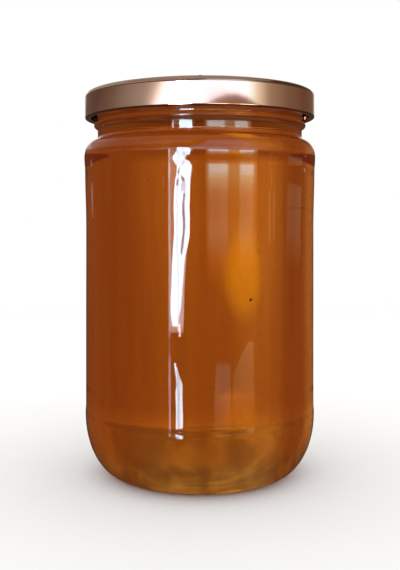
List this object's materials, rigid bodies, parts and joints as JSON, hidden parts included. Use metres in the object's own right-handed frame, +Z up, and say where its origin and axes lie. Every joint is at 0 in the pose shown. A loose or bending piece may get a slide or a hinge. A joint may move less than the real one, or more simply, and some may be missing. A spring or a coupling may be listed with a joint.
{
  "type": "honey jar",
  "caption": "Clear round glass jar full of amber honey, with a neck ring, soft shoulder, shallow label panel, big rounded heel and a copper twist-off lid.",
  "frame": {"origin": "middle of the ring that the jar stands on, at its lowest face", "axes": "+Z up along the axis that the jar and its lid are turned round; the jar is round, so +X and +Y are alike"},
  "size_m": [0.085, 0.085, 0.1399],
  "materials": {
    "clear_glass": "smooth clear flint glass with fine moulding waves",
    "honey": "clear runny amber honey with a few specks and small bubbles",
    "copper_lacquer": "copper-coloured gloss lacquer on pressed tinplate, lightly rubbed"
  },
  "bodies": {
    "root": {"jar": "clear_glass", "honey": "honey", "lid": "copper_lacquer"}
  },
  "joints": []
}
